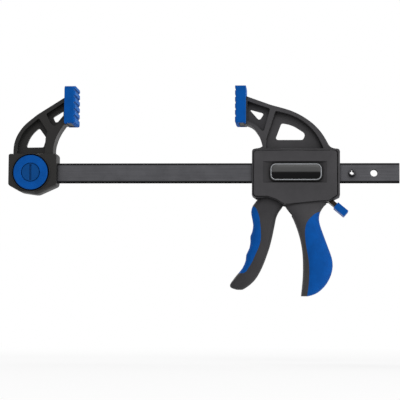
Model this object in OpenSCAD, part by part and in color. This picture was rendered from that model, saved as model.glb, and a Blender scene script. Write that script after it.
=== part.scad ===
// Quick release bar clamp, 150 mm opening.
// X runs along the bar from the fixed jaw to the free end, Y across the bar, and Z up to the pads.
// The origin is the centre of the fixed pad's working face.

/* [Bar] */
// Length of the steel bar
bar_len = 365; // [345:1:480]
// Height of the bar's section
bar_h = 18.7; // [17:0.1:20]
// Thickness of the bar
bar_t = 6; // [5:0.1:6.4]
// Radius of the bar's long edges
bar_edge_r = 1.5; // [0.3:0.1:1.5]
// Diameter of the holes for the lock pin
bar_hole_d = 6.6; // [6:0.1:9]
// Distance of the free end's hole from that end
end_hole_inset = 23.7; // [16:0.1:30]
// Distance of the stop pin from the free end
stop_inset = 44.2; // [36:0.1:52]
// Outer diameter of the hollow stop pin
stop_pin_d = 6.2; // [5:0.1:8]
// Wall of the hollow stop pin
stop_pin_wall = 1.1; // [0.8:0.1:1.6]
// Length of the stop pin
stop_pin_len = 15; // [12:0.5:20]

/* [Jaws] */
// Opening between the pads, as drawn
jaw_gap = 150; // [60:1:155]
// Height of the pads' centre above the bar's axis
throat = 63.5; // [60:0.1:76]
// Width of both arms' flanges
arm_w = 17; // [14:0.5:20]
// Thickness of both arms' webs
web_t = 4; // [3:0.1:6]
// Thickness of the flange along an arm's edge
flange_t = 3.4; // [2.6:0.1:4.5]

/* [Pads] */
// Width of a pad across the bar
pad_w = 33; // [30:0.5:40]
// Height of a pad
pad_h = 35.4; // [34:0.1:42]
// Thickness of a pad along the bar
pad_t = 10; // [9:0.1:12]
// Radius of a pad's corners
pad_corner_r = 4; // [1:0.5:8]
// Depth of the grooves between a pad's ribs
rib_depth = 1.1; // [0.6:0.1:1.6]
// Distance from one rib to the next
rib_pitch = 6.2; // [4:0.1:8]
// Slope of the ribs
rib_slope = 0; // [0:1:35]

/* [Fixed jaw] */
// Thickness of the base, across the bar
base_t = 21; // [19:0.5:24]
// Length of the base along the bar
base_l = 45.2; // [43:0.1:52]
// Height of the base above the bar's axis
base_top = 18; // [17:0.1:20]

/* [Lock button] */
// Diameter of the button
button_d = 32.4; // [28:0.1:33]
// Height of the button above the base
button_proud = 2.5; // [1.5:0.1:3.5]
// Distance that the button is pushed
button_travel = 3; // [1:0.1:3]
// Diameter of the lock pin's slotted head
lock_head_d = 17.4; // [14:0.1:18]

/* [Housing] */
// Length of the housing along the bar
housing_l = 81.8; // [80:0.1:90]
// Height of the housing above the bar's axis
housing_top = 22.1; // [21:0.1:25]
// Depth of the housing below the bar's axis, at its front corner
housing_bottom = 24; // [23.5:0.1:26]
// Thickness of the housing across the bar
housing_t = 27; // [26.5:0.1:30]
// Wall of the housing
wall = 2.3; // [2:0.1:2.5]
// Height of the housing's raised panel
panel_rise = 2; // [1:0.1:2.2]
// Width of the bare badge
badge_l = 49; // [42:0.1:55]
// Height of the bare badge
badge_h = 17; // [13:0.1:18]

/* [Handle and trigger] */
// Length of the handle below the housing
handle_len = 88; // [80:1:110]
// Thickness of the handle across the bar
handle_w = 25; // [22:0.5:26]
// Length of the trigger below the housing
trigger_len = 85; // [76:1:92]
// Thickness of the trigger's lever
trigger_w = 20; // [17:0.5:22]
// Thickness of the soft inserts
soft_t = 2.4; // [1.6:0.1:3]
// Diameter of the trigger's pivot pin
pivot_d = 5; // [4:0.1:6]

/* [Drive and brake] */
// Thickness of each drive plate
drive_plate_t = 2.5; // [2:0.1:3]
// Height of the drive plates
drive_plate_h = 28; // [26:0.5:30]
// Thickness of the brake plate
brake_plate_t = 4; // [2.5:0.1:4.2]
// Width of the brake plate and its lever
brake_plate_w = 15.6; // [12:0.2:17]
// Lean of the brake plate at rest
brake_lean = 3; // [1:0.5:4]
// Wire of the drive spring
drive_wire = 1; // [0.8:0.1:1.1]
// Wire of the brake spring
brake_wire = 0.9; // [0.6:0.1:1.2]

/* [Fits] */
// Play between the bar and what slides on it
slide_play = 0.15; // [0.1:0.01:0.3]
// Play of pins in their bores
pin_play = 0.05; // [0.02:0.01:0.1]
// Gap between pieces that move past each other
run_gap = 0.3; // [0.2:0.05:0.5]

/* [Hidden] */
$fn = 48;
eps = 0.01;
arc_step = 15;
chord_gap = 0.04;

black = "#3f3e40";
blue = "#1252a2";
steel = "#77777a";
bright = "#a9abad";

// Fixed jaw, from the pad's back at x = 0 to the left
base_right = -7.8;
base_left = base_right - base_l;
button_x = base_left + base_l / 2 - 1.4;
bar_left = base_left + 1;
bar_right = bar_left + bar_len;

// Moving jaw, from the pad's back at x = 0 to the right
housing_left = 5.8;
housing_right = housing_left + housing_l;
y_face = housing_t / 2;
y_in = y_face - wall;
cavity_left = housing_left + 3.2;
cavity_right = housing_right - 3.2;
cavity_top = housing_top - 3;
cavity_bottom = -housing_bottom + 4;

// Places where the working parts sit inside the housing
pivot_x = 24;
pivot_z = 12.7;
pin_seat = 0.8;
cheek_in = bar_t / 2 + 0.5;
cheek_t = 3;
cheek_out = cheek_in + cheek_t;
neck_w = 2 * cheek_out + 2;
drive_x = 36;
drive_spring_x0 = drive_x + 2 * drive_plate_t + 0.1;
bulkhead_x = 56;
bulkhead_t = 3.5;
brake_x = 69;
brake_pivot_z = -18;
lever_angle = -40.1;

// ---------------------------------------------------------------- helpers

function xy(p) = [p[0], p[1]];
function unit(v) = v / norm(v);

// Points of one corner b, rounded to the radius in b[2], between its neighbours a and c. The arc
// gets n steps, or where n is 0 enough of them to keep its chords within chord_gap of it
function corner(a, b, c, n) =
    let (u = unit(xy(a) - xy(b)), v = unit(xy(c) - xy(b)), half = acos(u * v) / 2, r = b[2])
    r == 0 || half > 89 ? [xy(b)] :
    let (
        centre = xy(b) + unit(u + v) * r / sin(half),
        from = xy(b) + u * r / tan(half) - centre,
        to = xy(b) + v * r / tan(half) - centre,
        start = atan2(from[1], from[0]),
        sweep = atan2(to[1], to[0]) - start,
        turn = sweep > 180 ? sweep - 360 : sweep < -180 ? sweep + 360 : sweep,
        steps = n > 0 ? n : max(1, ceil(abs(turn) / min(arc_step, 2 * acos(1 - min(chord_gap / r, 0.5)))))
    )
    [for (k = [0:steps]) centre + r * [cos(start + turn * k / steps), sin(start + turn * k / steps)]];

// Closed outline whose corners [x, z, radius] are rounded
function rounded(p, n = 0) =
    [for (i = [0:len(p) - 1]) each corner(p[(i + len(p) - 1) % len(p)], p[i], p[(i + 1) % len(p)], n)];

function box_outline(x0, x1, z0, z1, r) = [[x0, z0, r], [x1, z0, r], [x1, z1, r], [x0, z1, r]];

// Smooth curve through the rows of p, with n steps between two rows
function row(p, i) = p[max(0, min(len(p) - 1, i))];
function curve_at(a, b, c, d, t) =
    0.5 * (2 * b + (c - a) * t + (2 * a - 5 * b + 4 * c - d) * t * t + (3 * b - a - 3 * c + d) * t * t * t);
function smooth(p, n) = concat(
    [for (i = [0:len(p) - 2], k = [0:n - 1]) curve_at(row(p, i - 1), p[i], p[i + 1], row(p, i + 2), k / n)],
    [p[len(p) - 1]]
);

// Outline in X and Z, extruded from y0 to y1
module slab(points, y0, y1) {
    translate([0, y1, 0])
        rotate([90, 0, 0])
            linear_extrude(y1 - y0)
                polygon(points);
}

// Round bar or bore along Y
module rod(x, z, d, y0, y1) {
    translate([x, y1, z])
        rotate([90, 0, 0])
            cylinder(d = d, h = y1 - y0);
}

// Cone along Y, with diameter d0 at y0 and d1 at y1, which lies before it
module cone(x, z, d0, d1, y0, y1) {
    translate([x, y0, z])
        rotate([90, 0, 0])
            cylinder(d1 = d0, d2 = d1, h = y0 - y1);
}

module block(x0, x1, y0, y1, z0, z1) {
    translate([x0, y0, z0])
        cube([x1 - x0, y1 - y0, z1 - z0]);
}

// Solid through rings of points, closed at both ends
module loft(rings) {
    n = len(rings[0]);
    last = len(rings) - 1;
    polyhedron(
        points = [for (r = rings) each r],
        faces = concat(
            [[for (j = [n - 1:-1:0]) j]],
            [for (i = [0:last - 1], j = [0:n - 1]) let (k = (j + 1) % n)
                each [
                    [i * n + j, i * n + k, (i + 1) * n + k],
                    [i * n + j, (i + 1) * n + k, (i + 1) * n + j]
                ]],
            [[for (j = [0:n - 1]) last * n + j]]
        )
    );
}

// Rings of one outline in X and Z, each [outline, y], as a solid from the first y to the last
function ring(points, y) = [for (q = points) [q[0], y, q[1]]];

// Level section of a grip: station s = [z, left x, right x, half thickness], drawn in by inset
section_points = 20;
section_power = 2.7;
function power(c) = sign(c) * pow(abs(c), 2 / section_power);
function section(s, inset) =
    let (mid = (s[1] + s[2]) / 2, a = (s[2] - s[1]) / 2 - inset, b = s[3] - inset)
    [for (j = [0:section_points - 1]) let (t = 360 * j / section_points)
        [mid + a * power(cos(t)), b * power(sin(t)), s[0]]];

// Coil of wire from x = 0 to x = length, round the X axis
coil_sides = 6;
function coil_ring(r, wire, length, turns, s) =
    let (a = 360 * turns * s, x = wire / 2 + (length - wire) * s)
    [for (j = [0:coil_sides - 1]) let (t = 360 * j / coil_sides, q = r + wire / 2 * cos(t))
        [x + wire / 2 * sin(t), q * cos(a), q * sin(a)]];
module coil(r, wire, length, turns, steps) {
    loft([for (k = [0:turns * steps]) coil_ring(r, wire, length, turns, k / (turns * steps))]);
}

// ---------------------------------------------------------------- places

module fixed_place() {
    translate([-pad_t, 0, -throat])
        children();
}

module moving_place() {
    translate([jaw_gap + pad_t, 0, -throat])
        children();
}

// ---------------------------------------------------------------- bar

module bar() {
    color(steel)
        fixed_place()
            difference() {
                translate([bar_left, 0, 0])
                    rotate([90, 0, 90])
                        linear_extrude(bar_len)
                            polygon(rounded(box_outline(-bar_t / 2, bar_t / 2, -bar_h / 2, bar_h / 2, bar_edge_r)));
                rod(button_x, 0, bar_hole_d, -bar_t, bar_t);
                rod(bar_right - end_hole_inset, 0, bar_hole_d, -bar_t, bar_t);
                rod(bar_right - stop_inset, 0, stop_pin_d, -bar_t, bar_t);
            }
}

module stop_pin() {
    color(steel)
        fixed_place()
            difference() {
                rod(bar_right - stop_inset, 0, stop_pin_d - 2 * pin_play, -stop_pin_len / 2, stop_pin_len / 2);
                rod(bar_right - stop_inset, 0, stop_pin_d - 2 * stop_pin_wall, -stop_pin_len, stop_pin_len);
                block(bar_right - stop_inset - 0.4, bar_right - stop_inset + 0.4,
                    -stop_pin_len, stop_pin_len, 0, stop_pin_d);
            }
}

// ---------------------------------------------------------------- pads

head_t = 5;
head_back = 1.4;
head_w = pad_w - 6;
pad_bottom = throat - pad_h / 2;
pad_top = throat + pad_h / 2;
neck_top = throat + 8.2;
socket_play = 0.1;
pad_nose = 1.2;
pad_edge = 1.3;
rib_shift = 1.5;

// Plate at the end of an arm that a pad slides onto; the pad's back is at x = 0, its face on the +X side
module head_plate() {
    translate([head_back, 0, 0])
        rotate([90, 0, 90])
            linear_extrude(head_t)
                polygon(rounded(box_outline(-head_w / 2, head_w / 2, pad_bottom + 0.6, pad_top - 3, 2.5)));
}

module pad() {
    difference() {
        rotate([90, 0, 90])
            linear_extrude(pad_t)
                polygon(rounded([
                    [-pad_w / 2, pad_bottom, 1], [pad_w / 2, pad_bottom, 1],
                    [pad_w / 2, pad_top, pad_corner_r], [-pad_w / 2, pad_top, pad_corner_r]
                ]));
        block(head_back, head_back + head_t, -head_w / 2 - socket_play, head_w / 2 + socket_play,
            pad_bottom - 1, pad_top - 3 + socket_play);
        block(-1, head_back + eps, -arm_w / 2 - socket_play, arm_w / 2 + socket_play,
            pad_bottom - 1, neck_top + socket_play);
        pad_grooves();
        slab([[pad_t - pad_nose, pad_bottom], [pad_t + 1, pad_bottom + pad_nose + 1], [pad_t + 1, pad_bottom - 1],
            [pad_t - pad_nose, pad_bottom - 1]], -pad_w, pad_w);
        for (side = [-1, 1])
            translate([0, 0, pad_bottom - 1])
                linear_extrude(pad_h + 2)
                    polygon([
                        [pad_t - pad_edge, side * pad_w / 2], [pad_t + 1, side * (pad_w / 2 - pad_edge - 1)],
                        [pad_t + 1, side * (pad_w / 2 + 1)], [pad_t - pad_edge, side * (pad_w / 2 + 1)]
                    ]);
    }
}

// Grooves across the pad with slanted walls, which leave ribs with level tips
module pad_grooves() {
    count = floor((pad_h + pad_w * tan(rib_slope)) / rib_pitch / 2);
    width = rib_pitch * 0.32;
    for (i = [-count:count])
        translate([pad_t, 0, throat + rib_shift + i * rib_pitch])
            rotate([rib_slope, 0, 0])
                rotate([90, 0, 0])
                    translate([0, 0, -pad_w])
                        linear_extrude(2 * pad_w)
                            polygon([
                                [0.2, width / 2 + 0.5], [-rib_depth, width / 2 - 0.2],
                                [-rib_depth, -width / 2 + 0.2], [0.2, -width / 2 - 0.5]
                            ]);
}

module fixed_pad() {
    color(blue)
        fixed_place()
            pad();
}

module moving_pad() {
    color(blue)
        moving_place()
            mirror([1, 0, 0])
                pad();
}

// ---------------------------------------------------------------- arms

// Arm outlines are drawn for this throat and stretch up or down with the real one
drawn_throat = 63.5;
drawn_root = 18;
function lift(p, root) =
    [for (q = p) [q[0], root + (q[1] - drawn_root) * (throat - root) / (drawn_throat - drawn_root), q[2]]];

// I-beam arm: outline, pockets on both sides of the web, and windows through it
module arm(outline, pockets, windows) {
    difference() {
        slab(rounded(outline), -arm_w / 2, arm_w / 2);
        for (p = pockets) {
            slab(rounded(p), web_t / 2, arm_w);
            slab(rounded(p), -arm_w, -web_t / 2);
        }
        for (w = windows)
            slab(rounded(w), -arm_w, arm_w);
    }
}

module fixed_arm() {
    f = flange_t - 3.4;
    outline = lift([
        [head_back, 71.5, 0], [-1, 71, 0], [-26.6, 54.9, 40], [-42.1, 42.5, 40], [-48.7, 28.1, 30], [-49.2, 10, 0],
        [-11.2, 10, 0], [-11.2, 24, 18], [-8.4, 35, 40], [-1.2, 45.4, 0], [head_back, 45.4, 0]
    ], base_top);
    lower_pocket = lift([
        [-25.2, 51.6 - f, 1.5], [-39.8 + f, 39.2, 24], [-45 + f, 27, 16],
        [-45.6 + f, 18, 1], [-19.3, 18, 1], [-18.6, 33, 8], [-17, 39, 2]
    ], base_top);
    upper_pocket = lift([
        [-1.2, 66.6 - f, 0.8], [-18.4, 55.4 - f, 1.5], [-12.6, 44.6, 2], [-9.6, 44.2, 2],
        [-1.2, 51.4, 0.8]
    ], base_top);
    lower_window = lift([
        [-25.9, 43.2, 2], [-18.9, 33.4, 2], [-21.5, 24.6, 1.6], [-38.2, 24.4, 1.6], [-34.6, 36, 27]
    ], base_top);
    upper_window = lift([
        [-13, 53.2, 1.4], [-10.8, 48.4, 1.4], [-8.2, 48.6, 1.4], [-3, 55, 1], [-3, 59.3, 0.6]
    ], base_top);
    arm(outline, [lower_pocket, upper_pocket], [lower_window, upper_window]);
}

module moving_arm() {
    f = flange_t - 3.4;
    outline = lift([
        [-head_back, 71.6, 0], [0.8, 71.6, 0], [23, 63.5, 30], [47.5, 56.7, 70], [68.8, 41.3, 54],
        [78.6, 22.7, 7], [83, 22.1, 0], [83, 14, 0], [9, 14, 0], [9, 22.1, 0], [12.6, 22.6, 0],
        [15.6, 24, 1], [13, 34, 20], [6.6, 43, 12], [0.6, 45.2, 0], [-head_back, 44.6, 0]
    ], housing_top - 3.7);
    lower_pocket = lift([
        [27.6, 57.8 - f, 1.5], [45.2, 53.8 - f, 52], [64.5 - f, 39.8, 48], [72.6 - f, 22, 1],
        [18.8, 22, 1], [19, 31.6, 4]
    ], housing_top - 3.7);
    upper_pocket = lift([
        [1.2, 67.3 - f, 0.8], [22.6, 60 - f, 1.5], [16.4, 37.4, 1.5], [10.4, 43.6, 10], [1.2, 48.6, 0.8]
    ], housing_top - 3.7);
    lower_window = lift([
        [33, 47.2, 2.2], [42.9, 45.4, 28], [55.8, 37, 4], [53.2, 30.9, 2.6], [27, 30.9, 2.2]
    ], housing_top - 3.7);
    upper_window = lift([
        [2.6, 60.4, 0.7], [17, 56.4, 1.8], [12.4, 49.2, 1.8]
    ], housing_top - 3.7);
    arm(outline, [lower_pocket, upper_pocket], [lower_window, upper_window]);
}

// ---------------------------------------------------------------- fixed jaw

base_face = base_t / 2;
pocket_d = button_d + 2.2;
rim_d = pocket_d + 1.7;
rim_h = 0.8;
button_z = 0;
pocket_floor = bar_t / 2 + 1.6;
clip_recess_d = 14;

module fixed_base() {
    hull() {
        slab(rounded([
            [base_left, base_top, 1.5], [base_left, -12, 2], [base_left + 11.5, -18.4, 10],
            [button_x + 5.5, -20.6, 8], [base_right, -12.2, 2], [base_right, base_top, 1.5]
        ]), -base_face + 3, base_face - 3);
        slab(rounded([
            [base_left, base_top - 0.6, 1.5], [base_left, -11.6, 2], [base_left + 11, -17.6, 10],
            [button_x + 5.5, -18, 10], [base_right, -11, 2], [base_right, base_top - 0.6, 1.5]
        ]), -base_face, base_face);
    }
}

module fixed_jaw() {
    color(black)
        fixed_place()
            difference() {
                union() {
                    fixed_base();
                    fixed_arm();
                    head_plate();
                    rod(button_x, button_z, rim_d, -base_face - rim_h, 0);
                }
                block(base_left - 1, base_right + 1, -bar_t / 2 - socket_play, bar_t / 2 + socket_play,
                    -bar_h / 2 - socket_play, bar_h / 2 + socket_play);
                rod(button_x, button_z, pocket_d, -base_face - 5, -pocket_floor);
                rod(button_x, button_z, bar_hole_d, -base_face, base_face);
                rod(button_x, button_z, clip_recess_d, pocket_floor, base_face + 1);
            }
}

// ---------------------------------------------------------------- lock

button_face = base_face + button_proud;
button_wall = 2;
button_edge = 0.7;
seam = 0.5;
button_skirt = pocket_floor + button_travel + run_gap;
pin_end = base_face - button_travel - run_gap;
lock_pin_d = bar_hole_d - 2 * 0.1;
clip_t = 1;

module lock_button() {
    color(blue)
        fixed_place()
            difference() {
                union() {
                    rod(button_x, button_z, button_d, -button_face + button_edge, -button_skirt);
                    cone(button_x, button_z, button_d, button_d - 2 * button_edge, -button_face + button_edge,
                        -button_face);
                }
                rod(button_x, button_z, button_d - 2 * button_wall, -button_face + button_wall, 0);
                rod(button_x, button_z, lock_head_d, -button_face - 1, 0);
                cone(button_x, button_z, lock_head_d, lock_head_d + 2 * seam,
                    -button_face + seam, -button_face);
            }
}

module lock_pin() {
    slot_w = 1.6;
    slot_len = 14.4;
    slot_depth = 0.7;
    head_face = -button_face + 0.3;
    color(blue)
        fixed_place()
            difference() {
                union() {
                    rod(button_x, button_z, lock_head_d - 2 * pin_play, head_face + seam,
                        -button_face + button_wall);
                    cone(button_x, button_z, lock_head_d - 2 * pin_play,
                        lock_head_d - 2 * pin_play - 2 * seam, head_face + seam, head_face);
                    rod(button_x, button_z, lock_head_d + 3,
                        -button_face + button_wall, -button_face + button_wall + 1);
                    rod(button_x, button_z, lock_pin_d, -button_face + button_wall, pin_end);
                }
                block(button_x - slot_w / 2, button_x + slot_w / 2, -button_face - 1, head_face + slot_depth,
                    button_z - slot_len / 2, button_z + slot_len / 2);
                difference() {
                    rod(button_x, button_z, lock_pin_d + 2, pocket_floor + 0.1, pocket_floor + 0.1 + clip_t);
                    rod(button_x, button_z, lock_pin_d - 1.6, 0, base_t);
                }
            }
}

// Retaining ring with one gap, in the groove at the pin's end
module lock_clip() {
    color(bright)
        fixed_place()
            difference() {
                rod(button_x, button_z, lock_pin_d + 4, pocket_floor + 0.1, pocket_floor + 0.1 + clip_t);
                rod(button_x, button_z, lock_pin_d - 1.6, 0, base_t);
                block(button_x - 1.6, button_x + 1.6, 0, base_t, button_z - 10, button_z);
            }
}

module lock_spring() {
    wire = 0.8;
    top = -button_face + button_wall + 1;
    color(bright)
        fixed_place()
            translate([button_x, top, button_z])
                rotate([0, 0, 90])
                    coil(lock_pin_d / 2 + 1.2, wire, -pocket_floor - top, 2, 16);
}

// ---------------------------------------------------------------- housing and moving jaw

// Outline of the housing with the lip over the trigger and the neck of the handle, drawn in by inset
function housing_outline(inset) = rounded([
    [housing_left + inset * 0.7, housing_top - inset * 0.8, 2.6],
    [housing_right - inset * 1.1, housing_top - inset * 0.8, 2.6],
    [housing_right - inset * 1.1, -22 + inset * 0.3, 1.5], [housing_right - 10, -27.1 + inset * 0.3, 3],
    [70, -27.4 + inset * 0.3, 2], [39, -30.6 + inset * 0.3, 0.5], [35.9, -30.5 + inset * 0.3, 0.5],
    [28.6, -26 + inset * 0.3, 10], [21, -23.2 + inset * 0.3, 8],
    [9.4, -housing_bottom + inset * 0.6, 1], [housing_left + inset * 0.7, -21.4 + inset * 0.3, 1]
], 3);

// Housing from the cover's seat to the raised panel: [inset, y] of each ring, with a rounded shoulder,
// a groove round the panel and the panel's own soft edge
shoulder_r = 1.5;
shoulder_y = -y_face + panel_rise;
panel_inset = 2.6;
groove_w = 0.7;
groove_depth = 1;
panel_edge = 0.5;
housing_rings = concat(
    [[0, y_in]],
    [for (a = [0:30:90]) [shoulder_r * (1 - cos(a)), shoulder_y + shoulder_r * (1 - sin(a))]],
    [
        [panel_inset - groove_w, shoulder_y], [panel_inset - groove_w / 2, shoulder_y + groove_depth],
        [panel_inset, shoulder_y], [panel_inset, -y_face + panel_edge], [panel_inset + panel_edge, -y_face]
    ]
);

module housing_body() {
    loft([for (r = housing_rings) ring(housing_outline(r[0]), r[1])]);
}

// Handle stations: [z, front x, back x, half thickness], drawn for an 88 mm handle
handle_root = -26.9;
function handle_rows(len) = [for (s = smooth([
    [-20, 29, 84, 0.44], [-27, 31.4, 77.6, 0.47], [-31, 34, 73, 0.48], [-36, 38.2, 69.7, 0.485],
    [-41, 42.9, 68.3, 0.49], [-46, 45.3, 68.6, 0.49], [-52, 47.6, 70.3, 0.495], [-60, 50.1, 73.2, 0.5],
    [-70, 52.2, 76.9, 0.505], [-79, 53.1, 80.1, 0.51], [-87, 53.3, 81, 0.51], [-95, 53.2, 79.5, 0.505],
    [-103, 52.7, 75.6, 0.48], [-109, 52.1, 70.4, 0.44], [-113, 51.7, 64.6, 0.38], [-114.9, 51.5, 58.4, 0.3]
], 2)) [handle_root + (s[0] - handle_root) * len / 88, s[1], s[2], s[3] * handle_w]];

module handle_form(inset) {
    lowest = inset == 0 ? -2 * handle_len : handle_root - handle_len + 4;
    loft([for (s = handle_rows(handle_len)) if (s[0] > lowest) section(s, inset)]);
}

// Region of the handle that the soft insert covers, down to the core
module handle_soft_zone() {
    front = smooth([
        [72, -35.6], [68, -36.9], [64.2, -38.9], [60.4, -42.4], [56.9, -47], [55.5, -52], [55.2, -58.3],
        [56.1, -67.9], [57.9, -77.5], [59.1, -87], [59.1, -97.8], [58.2, -108.6], [56.9, -116]
    ], 2);
    difference() {
        slab([
            for (p = concat(front, [[90, -120], [90, -35]]))
                [p[0], handle_root + (p[1] - handle_root) * handle_len / 88]
        ], -housing_t, housing_t);
        handle_form(soft_t);
    }
}

// Space for the trigger inside the housing and the front of the handle
module trigger_well() {
    slab([
        [cavity_left, cavity_bottom + 1], [48.5, cavity_bottom + 1], [48.5, -27.5], [44.3, -32], [43, -38],
        [42.7, -40.8], [30, -48], [cavity_left, -30]
    ], -neck_w / 2 - 0.5, neck_w / 2 + 0.5);
}

// Slot for the brake lever through the housing's lower corner
module lever_slot() {
    half = brake_plate_w / 2 + run_gap;
    translate([brake_x, 0, brake_pivot_z])
        rotate([0, -lever_angle, 0])
            block(-4, 30, -half, half, -brake_plate_t / 2 - 2.4, brake_plate_t / 2 + 1.6);
}

screw_posts = [
    [cavity_left + 2.6, cavity_top - 2.6], [bulkhead_x + bulkhead_t / 2, cavity_top - 2.6],
    [bulkhead_x + bulkhead_t / 2, cavity_bottom + 4], [cavity_right - 2.4, cavity_bottom + 4.5]
];
post_d = 6.4;
screw_d = 3;
screw_head_d = 5.8;
screw_head_t = 1.2;

module housing_chambers() {
    difference() {
        union() {
            block(cavity_left, bulkhead_x, -y_in, y_face + 1, cavity_bottom, cavity_top);
            block(bulkhead_x + bulkhead_t, cavity_right, -y_in, y_face + 1, cavity_bottom, cavity_top);
        }
        for (p = screw_posts)
            rod(p[0], p[1], post_d, -y_face, y_in);
        rod(pivot_x, pivot_z, pivot_d + 5, -y_face, -cheek_out - run_gap);
        rod(brake_x - brake_plate_t / 2 - 2.2, brake_pivot_z + 1, 4, -y_face, y_in);
        block(cavity_right - 3, cavity_right + 1, -2, 2, brake_spring_z - 2, brake_spring_z + 2);
    }
}

module moving_jaw() {
    color(black)
        moving_place()
            difference() {
                union() {
                    moving_arm();
                    mirror([1, 0, 0])
                        head_plate();
                    housing_body();
                    difference() {
                        handle_form(0);
                        handle_soft_zone();
                    }
                }
                housing_chambers();
                trigger_well();
                lever_slot();
                block(-1, housing_right + 1, -bar_t / 2 - slide_play, bar_t / 2 + slide_play,
                    -bar_h / 2 - slide_play, bar_h / 2 + slide_play);
                badge_recess(-1);
                slab(cover_outline(0), y_in, y_face + 1);
                rod(pivot_x, pivot_z, pivot_d + 2 * pin_play, -y_in - pin_seat, 0);
                for (p = screw_posts)
                    rod(p[0], p[1], screw_d, 0, y_face);
            }
}

module handle_grip() {
    color(blue)
        moving_place()
            intersection() {
                handle_form(0);
                handle_soft_zone();
            }
}

// ---------------------------------------------------------------- badge

recess_depth = 1.5;
recess_h = 20;
badge_x = (housing_left + housing_right) / 2 + 0.2;
badge_proud = 0.3;
badge_border = 0.9;
rim_t = 0.8;
rim_bed = 0.6;

// Badge outline, drawn in by inset
function badge_outline(inset) = rounded(box_outline(
    badge_x - badge_l / 2 + inset, badge_x + badge_l / 2 - inset,
    -badge_h / 2 + inset, badge_h / 2 - inset, 5.6 - inset
));

// Shallow recess with sloping walls, the left one the longest, in the side that the sign gives
module badge_recess(side) {
    left = badge_x - badge_l / 2;
    right = badge_x + badge_l / 2;
    face = side * (y_face + eps);
    floor_y = side * (y_face - recess_depth);
    outer = box_outline(left - 6.5, right + 4.3, -recess_h / 2, recess_h / 2, 0);
    inner = box_outline(left - 0.4, right + 0.4, -badge_h / 2 - 0.4, badge_h / 2 + 0.4, 0);
    loft(side < 0 ? [ring(outer, face), ring(inner, floor_y)] : [ring(inner, floor_y), ring(outer, face)]);
}

module badge_plate() {
    color("#111113")
        moving_place()
            difference() {
                slab(badge_outline(0), -y_face - badge_proud, -y_face + recess_depth);
                difference() {
                    slab(badge_outline(badge_border), -y_face - 1, -y_face - badge_proud + rim_bed);
                    slab(badge_outline(badge_border + rim_t), -y_face - 2, y_face);
                }
            }
}

// Bright line let into the badge
module badge_rim() {
    color(bright)
        moving_place()
            difference() {
                slab(badge_outline(badge_border), -y_face - badge_proud - 0.15, -y_face - badge_proud + rim_bed);
                slab(badge_outline(badge_border + rim_t), -y_face - 2, y_face);
            }
}

// ---------------------------------------------------------------- rear cover

cover_edge = 0.7;
function cover_outline(inset) = rounded([
    [housing_left + 3 + inset, housing_top - 1.8 - inset, 2],
    [housing_right - 4.2 - inset, housing_top - 1.8 - inset, 2],
    [housing_right - 4.2 - inset, -20.6 + inset * 0.5, 2], [77 - inset * 0.5, -25 + inset, 3],
    [39, -27.4 + inset, 2], [28, -24 + inset, 8], [20, -21.6 + inset, 6], [housing_left + 3 + inset, -21 + inset, 1]
], 3);

module rear_cover() {
    color(black)
        moving_place()
            difference() {
                union() {
                    loft([
                        ring(cover_outline(cover_edge), y_face), ring(cover_outline(0), y_face - cover_edge),
                        ring(cover_outline(0), y_in)
                    ]);
                    rod(pivot_x, pivot_z, pivot_d + 5, cheek_out + run_gap, y_in);
                }
                rod(pivot_x, pivot_z, pivot_d + 2 * pin_play, 0, y_in + pin_seat);
                badge_recess(1);
                for (p = screw_posts) {
                    rod(p[0], p[1], screw_d + 0.6, 0, y_face + 1);
                    rod(p[0], p[1], screw_head_d + 0.4, y_face - screw_head_t - 0.2, y_face + 1);
                }
            }
}

module cover_screws() {
    color(bright)
        moving_place()
            for (p = screw_posts)
                difference() {
                    union() {
                        rod(p[0], p[1], screw_d - 2 * pin_play, 1, y_face - 1);
                        rod(p[0], p[1], screw_head_d, y_face - screw_head_t - 0.2, y_face - 0.2);
                    }
                    for (a = [0, 90])
                        translate([p[0], y_face, p[1]])
                            rotate([0, a, 0])
                                block(-0.4, 0.4, -1, 1, -1.8, 1.8);
                }
}

// ---------------------------------------------------------------- trigger

trigger_root = -24;
nose_z = -13;
nose_x = drive_x - run_gap;
eye_d = pivot_d + 7;

// Trigger stations: [z, front x, back x, half thickness as a share of trigger_w]
function trigger_rows() = [for (s = smooth([
    [-20, 13, 34.6, 0.36], [-25, 10.6, 35.2, 0.37], [-30.5, 6.4, 34.9, 0.375], [-36.5, 4.9, 30.8, 0.38],
    [-42, 5.7, 28.3, 0.39], [-49, 6.8, 26.9, 0.43], [-55.4, 5.8, 25.6, 0.47], [-59.4, 4.2, 24.8, 0.49],
    [-64.4, 4.3, 23.6, 0.5], [-70.4, 3.3, 22, 0.505], [-76.6, 0.4, 19.9, 0.505], [-82, -0.1, 18, 0.5],
    [-89, -3.1, 15.1, 0.495],
    [-95, -8, 12, 0.48], [-100, -11.8, 8.7, 0.46], [-104.4, -14.6, 4.3, 0.42], [-107.4, -13.6, 0.2, 0.36],
    [-109.1, -8.6, -3, 0.25]
], 2)) [trigger_root + (s[0] - trigger_root) * trigger_len / 85, s[1], s[2],
        min(s[3] * trigger_w, s[0] > -43 ? neck_w / 2 : trigger_w)]];

module trigger_form(inset) {
    lowest = inset == 0 ? -2 * trigger_len : trigger_root - trigger_len + 4;
    loft([for (s = trigger_rows()) if (s[0] > lowest) section(s, inset)]);
}

module trigger_soft_zone() {
    back = smooth([
        [2, -30.6], [7.5, -31.5], [9.8, -33.6], [11.8, -38.1], [13.1, -43.5], [13.9, -49.5], [14.3, -56],
        [14.2, -63.2], [12.2, -70.4], [9, -77.4], [6.3, -83.6], [2.4, -89.9], [-1.4, -93.8], [-14, -94]
    ], 2);
    difference() {
        slab([
            for (p = concat(back, [[-20, -94], [-20, -30.6]]))
                [p[0], trigger_root + (p[1] - trigger_root) * trigger_len / 85]
        ], -trigger_w, trigger_w);
        trigger_form(soft_t);
    }
}

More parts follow.
